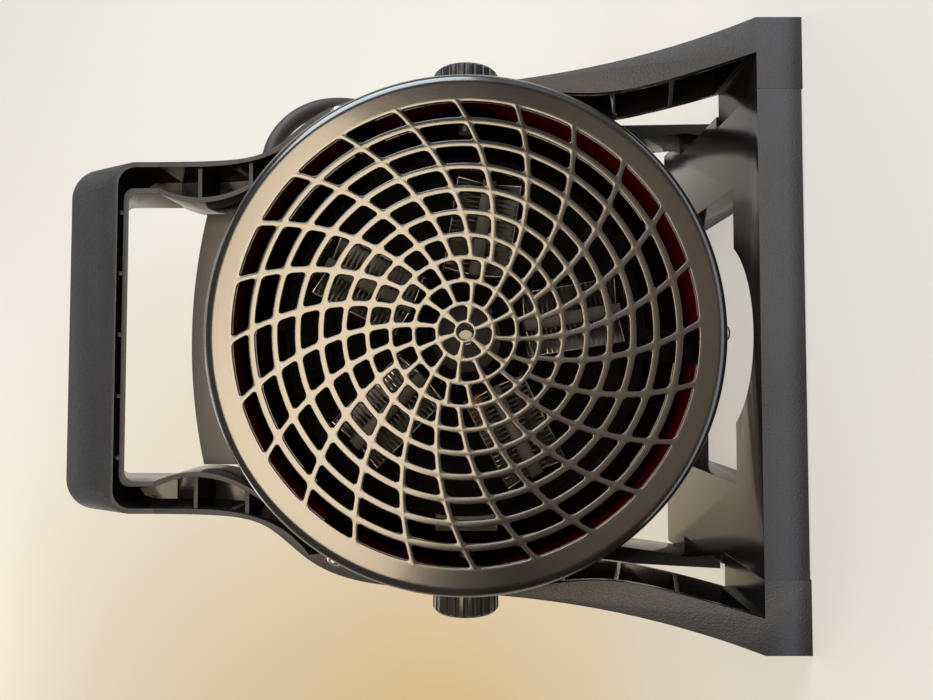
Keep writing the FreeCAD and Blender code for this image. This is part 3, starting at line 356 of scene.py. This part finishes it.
# The drum: rolled sheet steel with a deep red stove enamel inside and out. Only the outside keeps a
# clear lacquer; inside, from the heating elements back, the red is painted darker to near black as shade.
SHELL_MIDDLE, SHADE_FROM, SHADE_TO = 0.0909, -0.046, -0.018
DEEP_SHADE_COLOUR = (0.008, 0.001, 0.001, 1.0)


def paint_node(name, material):
    """A piece's solid, shown as it is, takes a finish."""
    nodes[name].data.materials.clear()
    nodes[name].data.materials.append(material)


enamel = textured_finish("red_enamel", dark=(0.15, 0.001, 0.006), light=(0.23, 0.003, 0.010),
                         rough=(0.30, 0.40), grain=900.0, drift=12.0, bump=0.12, specular=0.0)
tree = enamel.node_tree
shader = tree.nodes["Principled BSDF"]
place = node(tree, "ShaderNodeTexCoord").outputs["Object"]
centred = node(tree, "ShaderNodeMapping", Vector=place, Location=(0.0, 0.0, -PIVOT[2]), Scale=(1.0, 0.0, 1.0))
radius = measure(tree, "LENGTH", centred.outputs["Vector"])
outside = arithmetic(tree, "GREATER_THAN", radius, SHELL_MIDDLE)
apart = node(tree, "ShaderNodeSeparateXYZ", Vector=place)
# Painted shade: inside the drum the red darkens to near black from the heating elements back.
shade_ramp = node(tree, "ShaderNodeMapRange", Value=apart.outputs["Y"], From_Min=SHADE_FROM, From_Max=SHADE_TO)
deep_shade = arithmetic(tree, "SUBTRACT", shade_ramp.outputs["Result"], outside, clamp=True)
red = shader.inputs["Base Color"].links[0].from_socket
fill(tree, shader.inputs["Base Color"], mixed_colour(tree, deep_shade, red, DEEP_SHADE_COLOUR))
fill(tree, shader.inputs["Coat Weight"], outside)
shader.inputs["Coat Roughness"].default_value = 0.18
paint_node("drum_shell", enamel)


# The front grille: a pressed steel cap with a spiral net of openings, in a near-black powder coat with
# a low gloss. Each opening has round corners and a rolled edge; the cap's rim turns back over the drum.
SHEET = 0.0015
FACE = PIVOT[1] - 0.038
HUB_RADIUS, HUB_LIP, LAST_RING, RING_STEP = 0.0034, 0.00078, 0.0833, 0.00815
RINGS = np.array([6, 12, 18] + [24] * 7)
BARS = np.concatenate([[HUB_RADIUS], LAST_RING - RING_STEP * np.arange(9, -1, -1)])
RING_BARS = np.interp(np.arange(11), [0, 3, 6, 10], [0.0016, 0.0018, 0.0024, 0.0026])
SPOKE_BARS = np.interp(np.arange(10), [0, 3, 7, 9], [0.0019, 0.0021, 0.0025, 0.0022])
LEAN = math.radians(392.0)
FIRST = np.radians(np.concatenate([[46.9, 20.4, 3.87], 1.0 - 3.195 * np.arange(6, -1, -1)]))
ROLLED, OPENING_CORNER, CORNER_SHARE = 0.00036, 0.0014, 0.45
RIM_RADIUS, RIM_BOW, RIM_LIP = 0.093, 0.004, 0.015


def rounded_ring(half_width, half_height, corner, arc=6, run=4):
    """Points round a rectangle: a quarter circle at each corner, then even steps along the next side."""
    turns = np.linspace(0.0, math.pi / 2, arc)[None, :] + np.arange(4)[:, None] * math.pi / 2
    seat_x = np.array([1.0, -1.0, -1.0, 1.0])[:, None] * (half_width - corner)
    seat_y = np.array([1.0, 1.0, -1.0, -1.0])[:, None] * (half_height - corner)
    arcs = np.stack([seat_x + corner * np.cos(turns), seat_y + corner * np.sin(turns)], axis=-1)
    share = (np.arange(1, run + 1) / (run + 1))[None, :, None]
    runs = arcs[:, -1:] * (1 - share) + np.roll(arcs[:, :1], -1, axis=0) * share
    return np.concatenate([arcs, runs], axis=1).reshape(-1, 2)


def opening_patch(ring):
    """One opening of a ring as a grid of width, height and depth, and the radius of its middle.

    Rows go from the middle of its bars over the rolled edge, down through the sheet and out again at
    the back; columns go round the opening.
    """
    inner = BARS[ring] + (RING_BARS[ring] / 2 if ring else HUB_LIP)
    outer = BARS[ring + 1] - RING_BARS[ring + 1] / 2
    middle = BARS[ring + 1] - RING_STEP / 2
    cell_width = math.pi / RINGS[ring] * middle
    hole_width, hole_height = cell_width - SPOKE_BARS[ring] / 2, (outer - inner) / 2
    corner = min(OPENING_CORNER, CORNER_SHARE * hole_width, CORNER_SHARE * hole_height)
    seat = np.array([0.0, (outer + inner) / 2 - middle])
    cell_seat = np.array([0.0, (BARS[ring + 1] + BARS[ring]) / 2 - middle])
    hole = rounded_ring(hole_width, hole_height, corner) + seat
    edge = rounded_ring(hole_width + ROLLED, hole_height + ROLLED, corner + ROLLED) + seat
    cell = rounded_ring(cell_width, (BARS[ring + 1] - BARS[ring]) / 2, 0.0) + cell_seat
    bow = np.linspace(0.0, math.pi / 2, 5)
    roll = edge[None] + (hole - edge)[None] * np.sin(bow)[:, None, None]
    lines = np.concatenate([cell[None], roll, hole[None], cell[None]])
    sink = np.concatenate([[0.0], ROLLED * (1 - np.cos(bow)), [SHEET, SHEET]])
    depth = np.broadcast_to(sink[:, None, None], lines.shape[:2] + (1,))
    return np.concatenate([lines, depth], axis=-1), middle


def wrap_patch(patch, middle, start, step, number):
    """A patch laid round the disc: width becomes angle, height becomes radius, and spokes lean with it."""
    radius = middle + patch[..., 1]
    angle = start + step * (number + 0.5) + LEAN * patch[..., 1] + patch[..., 0] / middle
    x, z = radius * np.cos(angle), PIVOT[2] + radius * np.sin(angle)
    return np.stack([x, FACE + patch[..., 2], z], axis=-1)


def turned_profile(profile, count=240):
    """A profile of radius and depth turned about the drum's axis."""
    angle = np.linspace(0.0, 2 * math.pi, count, endpoint=False)
    radius, along = profile[:, :1], profile[:, 1:]
    x, z = radius * np.cos(angle), PIVOT[2] + radius * np.sin(angle)
    return np.stack(np.broadcast_arrays(x, along, z), axis=-1)


def joined_grids(name, grids, closed=True):
    """Several grids of points in one mesh, welded where they meet; each may be closed across its columns."""
    points, quads, start = [], [], 0
    for grid in grids:
        rows, columns = grid.shape[:2]
        index = np.arange(rows * columns).reshape(rows, columns) + start
        if closed:
            index = np.concatenate([index, index[:, :1]], axis=1)
        corners = [index[:-1, :-1], index[:-1, 1:], index[1:, 1:], index[1:, :-1]]
        quads.append(np.stack(corners, axis=-1).reshape(-1, 4))
        points.append(grid.reshape(-1, 3))
        start += rows * columns
    mesh = bpy.data.meshes.new(name)
    mesh.from_pydata(np.concatenate(points).tolist(), [], np.concatenate(quads).tolist())
    weld = bmesh.new()
    weld.from_mesh(mesh)
    bmesh.ops.remove_doubles(weld, verts=weld.verts, dist=2e-6)
    bmesh.ops.dissolve_degenerate(weld, edges=weld.edges, dist=1e-7)
    bmesh.ops.recalc_face_normals(weld, faces=weld.faces)
    weld.to_mesh(mesh)
    weld.free()
    return mesh


openings = []
for ring, count in enumerate(RINGS):
    patch, middle = opening_patch(ring)
    for number in range(count):
        openings.append(wrap_patch(patch, middle, FIRST[ring], 2 * math.pi / count, number))
bow = np.linspace(0.0, math.pi / 2, 9)
rim_profile = np.concatenate([
    [[BARS[-1], FACE], [0.0885, FACE]],
    np.stack([RIM_RADIUS - RIM_BOW + RIM_BOW * np.sin(bow), FACE + RIM_BOW - RIM_BOW * np.cos(bow)], axis=-1),
    [[RIM_RADIUS, FACE + RIM_LIP - 0.0005], [RIM_RADIUS - 0.0002, FACE + RIM_LIP],
     [RIM_RADIUS - SHEET, FACE + RIM_LIP], [RIM_RADIUS - SHEET, FACE + 0.0035],
     [0.0900, FACE + SHEET], [BARS[-1], FACE + SHEET]]])
hub_profile = np.array([[HUB_RADIUS, FACE + SHEET], [0.0026, FACE + SHEET], [0.0026, FACE + 0.0004],
                        [0.0029, FACE], [HUB_RADIUS, FACE]])
turned = [turned_profile(rim_profile), turned_profile(hub_profile, 48)]
grille = piece("spiral_grille", joined_grids("spiral_grille", openings + turned))
shade_faces(grille, True)
powder = textured_finish("powder_coat", dark=(0.006, 0.0055, 0.005), light=(0.014, 0.0125, 0.011),
                         rough=(0.16, 0.21), grain=2600.0, drift=9.0, bump=0.12, specular=0.8)
powder_shader = powder.node_tree.nodes["Principled BSDF"]
powder_shader.inputs["Coat Weight"].default_value = 0.5
powder_shader.inputs["Coat Roughness"].default_value = 0.08
grille.data.materials.append(powder)
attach(grille, "drum")
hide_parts("front_grille")


# The rear guard is the same kind of cap, with plain rings of slots and the same coat. The screws of both
# caps, of the panel, the base and the motor are zinc plated steel, and so are the clamps' bolts and
# washers and the dials' shafts.
paint_node("rear_guard", powder)
zinc = textured_finish("zinc_plate", dark=(0.42, 0.42, 0.40), light=(0.62, 0.61, 0.58),
                       rough=(0.25, 0.42), grain=1500.0, drift=60.0, bump=0.08, metallic=1.0)
for name in ("grille_screws", "guard_screws", "panel_screws", "base_screws", "motor_screws", "pivot_washers",
             "right_tilt_bolt", "left_tilt_bolt", "thermostat_shaft", "mode_shaft"):
    paint_node(name, zinc)


# Clamp knobs, control housing and dials: black mouldings with rounded edges. The knobs and dials, which
# are handled, have a semi-gloss skin; the housing and its panel are satin. The thermostat, the switch
# and the terminal block in the housing are grey mouldings.
KNOB_EDGE, HOUSING_EDGE, PANEL_EDGE, DIAL_EDGE = 0.0004, 0.0016, 0.0006, 0.0005
gloss_black = textured_finish("gloss_black", dark=(0.014, 0.014, 0.015), light=(0.024, 0.024, 0.026),
                              rough=(0.24, 0.36), grain=1800.0, drift=22.0, bump=0.12)
satin_black = textured_finish("satin_black", dark=(0.022, 0.022, 0.024), light=(0.038, 0.038, 0.041),
                              rough=(0.40, 0.52), grain=2400.0, drift=18.0, bump=0.3)
switch_grey = textured_finish("switch_moulding", dark=(0.08, 0.075, 0.07), light=(0.13, 0.12, 0.11),
                              rough=(0.4, 0.5), grain=1500.0, drift=40.0, bump=0.1)
soft_edged("right_tilt_knob", KNOB_EDGE, "right_clamp", gloss_black)
soft_edged("left_tilt_knob", KNOB_EDGE, "left_clamp", gloss_black)
soft_edged("control_housing", HOUSING_EDGE, "drum", satin_black)
soft_edged("control_panel", PANEL_EDGE, "drum", satin_black)
soft_edged("thermostat_dial", DIAL_EDGE, "thermostat_control", gloss_black)
soft_edged("mode_dial", DIAL_EDGE, "mode_control", gloss_black)
for name in ("thermostat", "mode_switch", "terminal_block"):
    paint_node(name, switch_grey)


# Marks printed in pale paint: plain strokes round each dial on the panel, and a pointer on each
# finger bar that turns with its dial. Each is a thin plate, half sunk in the face that it lies on.
DIAL_X, DIAL_Z, PANEL_FACE, BAR_FACE = 0.026, 0.2183, 0.05365, 0.06795
STROKE_HALF, PAINT_HALF = 0.0004, 0.0001
PANEL_STROKE, POINTER = (0.0112, 0.0132), (0.002, 0.0072)


def stroke_points(dial_x, degrees, ends, face):
    """A flat plate along a dial's radius: four corners at its back and front, both drawn to the middle."""
    a = math.radians(degrees)
    near, far = ends
    along = np.array([near, far, far, near])
    beside = np.array([-STROKE_HALF, -STROKE_HALF, STROKE_HALF, STROKE_HALF])
    x = dial_x + along * math.sin(a) + beside * math.cos(a)
    z = DIAL_Z + along * math.cos(a) - beside * math.sin(a)
    middle_x, middle_z = np.full(4, x.mean()), np.full(4, z.mean())
    y = face + np.array([-PAINT_HALF, -PAINT_HALF, PAINT_HALF, PAINT_HALF])
    return np.stack([np.stack([middle_x, x, x, middle_x]), np.broadcast_to(y[:, None], (4, 4)),
                     np.stack([middle_z, z, z, middle_z])], axis=-1)


mark_paint = textured_finish("mark_paint", dark=(0.58, 0.58, 0.56), light=(0.70, 0.70, 0.67),
                             rough=(0.4, 0.5), grain=1500.0, drift=40.0, bump=0.05)
strokes = [stroke_points(DIAL_X, a, PANEL_STROKE, PANEL_FACE)
           for a in (-120, -105, -90, -75, -60, 60, 75, 90, 105, 120)]
strokes += [stroke_points(-DIAL_X, a, PANEL_STROKE, PANEL_FACE) for a in (-90, -60, 60, 90)]
thermostat_bar = stroke_points(DIAL_X, 0, POINTER, BAR_FACE)
mode_bar = stroke_points(-DIAL_X, 0, POINTER, BAR_FACE)
for name, plates, body in (("panel_marks", strokes, "drum"),
                           ("thermostat_pointer", [thermostat_bar], "thermostat_control"),
                           ("mode_pointer", [mode_bar], "mode_control")):
    made = piece(name, joined_grids(name, plates))
    shade_faces(made, False)
    made.data.materials.append(mark_paint)
    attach(made, body)


# Behind the grille: a burnt steel disc with a cut-out holds the heating elements, with a dark fan behind
# it and an open motor, whose laminated core and copper windings sit on a strap. The clamps' bushes in
# the drum's sides are burnt steel too.
bare_steel = textured_finish("bare_sheet", dark=(0.14, 0.14, 0.14), light=(0.30, 0.29, 0.28),
                             rough=(0.28, 0.42), grain=1200.0, drift=40.0, bump=0.06, metallic=1.0)
burnt_steel = textured_finish("burnt_sheet", dark=(0.002, 0.002, 0.002), light=(0.006, 0.005, 0.005),
                              rough=(0.45, 0.65), grain=900.0, drift=30.0, bump=0.1, specular=0.0)
copper = textured_finish("windings", dark=(0.36, 0.12, 0.04), light=(0.62, 0.26, 0.10),
                         rough=(0.25, 0.4), grain=2600.0, drift=300.0, bump=0.5, metallic=0.9)
fan_black = textured_finish("fan_moulding", dark=(0.006, 0.006, 0.006), light=(0.012, 0.012, 0.012),
                            rough=(0.3, 0.45), grain=1500.0, drift=40.0, bump=0.1, specular=0.12)
for material, names in (
        (burnt_steel, ("heater_plate", "thermal_cutout", "pivot_bushes")),
        (bare_steel, ("front_bearing_bracket", "rear_bearing_bracket", "motor_mount", "motor_stator",
                      "motor_shaft")),
        (copper, ("motor_coils",)), (fan_black, ("fan_impeller",))):
    for name in names:
        paint_node(name, material)


# The five heating elements: a dark ceramic bar with a folded aluminium ribbon on each side, the folds
# standing across the air, and a thin aluminium strip that closes the ribbon.
ELEMENT = PIVOT[1] - 0.018
ELEMENT_ENDS, RIBBON_ENDS = (0.022, 0.058), (0.0224, 0.0576)
RIBBON_BAR, RIBBON_EDGE, RIBBON_HALF, RIBBON_SHEET = 0.0026, 0.0117, 0.006, 0.00025
END_CUT, END_SCALE = 0.0003, 0.97
ELEMENT_ANGLES = -9.0 + 72.0 * np.arange(5)


def ribbon_points(side, folds=20):
    """A triangle wave along the element, from its bar to its edge and back, carried through the depth."""
    along = np.linspace(*RIBBON_ENDS, 2 * folds)
    beside = side * np.where(np.arange(2 * folds) % 2 == 0, RIBBON_BAR, RIBBON_EDGE)
    through = ELEMENT + np.array([-RIBBON_HALF, RIBBON_HALF])
    return np.stack(np.broadcast_arrays(along[None, :], through[:, None], beside[None, :]), axis=-1)


def bar_points(half_depth, beside, half_width, cut=0.0003):
    """A bar along the element with cut edges: its eight-sided section, drawn to the middle at both ends."""
    y, z = half_depth, half_width
    section = np.array([(y, z - cut), (y - cut, z), (cut - y, z), (-y, z - cut),
                        (-y, cut - z), (cut - y, -z), (y - cut, -z), (y, cut - z)])
    scale = np.array([0.0, END_SCALE, 1.0, 1.0, END_SCALE, 0.0])[:, None]
    near, far = ELEMENT_ENDS
    along = np.array([near, near, near + END_CUT, far - END_CUT, far, far])[:, None]
    depth, width = ELEMENT + scale * section[:, 0], beside + scale * section[:, 1]
    return np.stack(np.broadcast_arrays(along, depth, width), axis=-1)


def about_drum(points, degrees):
    """Points beside the drum's axis, turned about it and set at its height."""
    a = math.radians(degrees)
    x, z = points[..., 0], points[..., 2]
    return np.stack([x * math.cos(a) - z * math.sin(a), points[..., 1],
                     PIVOT[2] + x * math.sin(a) + z * math.cos(a)], axis=-1)


ribbons = [about_drum(ribbon_points(side), a) for a in ELEMENT_ANGLES for side in (-1, 1)]
strips = [about_drum(bar_points(half_depth=0.0062, beside=side * 0.01185, half_width=0.00015, cut=0.0001), a)
          for a in ELEMENT_ANGLES for side in (-1, 1)]
bars = [about_drum(bar_points(half_depth=0.007, beside=0.0, half_width=0.0025), a) for a in ELEMENT_ANGLES]
fin_ribbons = piece("fin_ribbons", joined_grids("fin_ribbons", ribbons, closed=False))
fin_strips = piece("fin_strips", joined_grids("fin_strips", strips))
ceramic_bars = piece("ceramic_bars", joined_grids("ceramic_bars", bars))
shade_faces(fin_ribbons, False)
shade_faces(fin_strips, True)
shade_faces(ceramic_bars, True)
thick = fin_ribbons.modifiers.new("sheet", "SOLIDIFY")
thick.thickness = RIBBON_SHEET
thick.offset = 0.0
fins = textured_finish("thin_fins", dark=(0.20, 0.19, 0.18), light=(0.42, 0.40, 0.38),
                       rough=(0.3, 0.42), grain=1500.0, drift=80.0, bump=0.05, metallic=1.0)
fired = textured_finish("fired_ceramic", dark=(0.020, 0.017, 0.015), light=(0.055, 0.047, 0.040),
                        rough=(0.5, 0.7), grain=1600.0, drift=60.0, bump=0.25)
for made, finish in ((fin_ribbons, fins), (fin_strips, fins), (ceramic_bars, fired)):
    made.data.materials.append(finish)
    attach(made, "drum")
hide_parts("ptc_modules")


# The mains lead: 8 mm rubber cable, 1.5 m long, out of a tapered gland on the right of the housing, down
# behind the right leg and into a flat coil of two layers, with the plug beside it. A strap ties the coil.
LEAD = 0.008
# The line's points are in millimetres, with depth measured from the drum's pivot. The coil's points stand
# a little outside the line that they draw.
COIL_X, COIL_Y, COIL_INNER, COIL_STEP, COIL_EASE = 44.7, 160.0, 36.5, 9.0, 2.0
LOW_LAYER, LAYER_STEP = 5.3, 8.6
CLIMB_FROM, CLIMB_TO = 1.75, 2.25
OUTSIDE_CURVE = 1.01
drop = np.array([(71.2, 60, 216), (93.2, 60, 216), (112.2, 64.4, 205.9), (123.7, 72.4, 187.7),
                 (123.7, 83.6, 162), (118, 90, 119.6), (116, 92, 80), (112, 98, 45), (104.5, 113, 19),
                 (96.95, 135, LOW_LAYER)])
# The coil winds in for its lower layer, climbs in half a turn at its least radius and winds out again.
turns = np.linspace(0.0, 4.0, 65)
climb = np.clip((turns - CLIMB_FROM) / (CLIMB_TO - CLIMB_FROM), 0.0, 1.0)
wound = np.maximum(CLIMB_FROM - turns, 0.0) + np.maximum(turns - CLIMB_TO, 0.0)
coil_radius = (COIL_INNER + COIL_STEP * wound - COIL_EASE * np.sin(math.pi * climb) ** 2) * OUTSIDE_CURVE
coil = np.stack([COIL_X + coil_radius * np.cos(2 * math.pi * turns),
                 COIL_Y + coil_radius * np.sin(2 * math.pi * turns),
                 LOW_LAYER + LAYER_STEP * (climb - np.sin(2 * math.pi * climb) / (2 * math.pi))], axis=-1)
tail_start = np.array([(96.95, COIL_Y, LOW_LAYER + LAYER_STEP)])
tail = tail_start + [(0, 24, 0.6), (-12, 50, 2.0), (-34, 74, 4.1), (-66.25, 74, 4.1)]
route = np.concatenate([drop, coil, tail]) / 1000.0 + [0.0, PIVOT[1], 0.0]
lead_line = bpy.data.curves.new("lead_line", "CURVE")
lead_line.dimensions = "3D"
lead_line.resolution_u = 8
spline = lead_line.splines.new("NURBS")
spline.points.add(len(route) - 1)
spline.points.foreach_set("co", np.column_stack([route, np.ones(len(route))]).ravel())
spline.order_u = 3
spline.use_endpoint_u = True
line_object = piece("lead_line", lead_line)
bpy.context.view_layer.update()
path = read_points(bpy.data.meshes.new_from_object(line_object).vertices, "co")
lead_line.bevel_depth = LEAD / 2
lead_line.bevel_resolution = 5
lead_line.use_fill_caps = True
bpy.context.view_layer.update()
lead = piece("mains_lead", bpy.data.meshes.new_from_object(line_object))
bpy.data.objects.remove(line_object)
shade_faces(lead, True)
rubber = textured_finish("black_rubber", dark=(0.013, 0.013, 0.013), light=(0.026, 0.026, 0.026),
                         rough=(0.46, 0.6), grain=2200.0, drift=30.0, bump=0.25)
lead.data.materials.clear()
lead.data.materials.append(rubber)
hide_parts("power_cord", "cord_coil", "cord_tail")
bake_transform(lead)
for name in ("cord_gland", "plug_body", "cord_tie"):
    paint_node(name, rubber)
turned_brass = textured_finish("turned_brass", dark=(0.50, 0.36, 0.13), light=(0.66, 0.50, 0.22),
                               rough=(0.22, 0.32), grain=900.0, drift=50.0, bump=0.05, metallic=1.0)
paint_node("plug_pins", turned_brass)
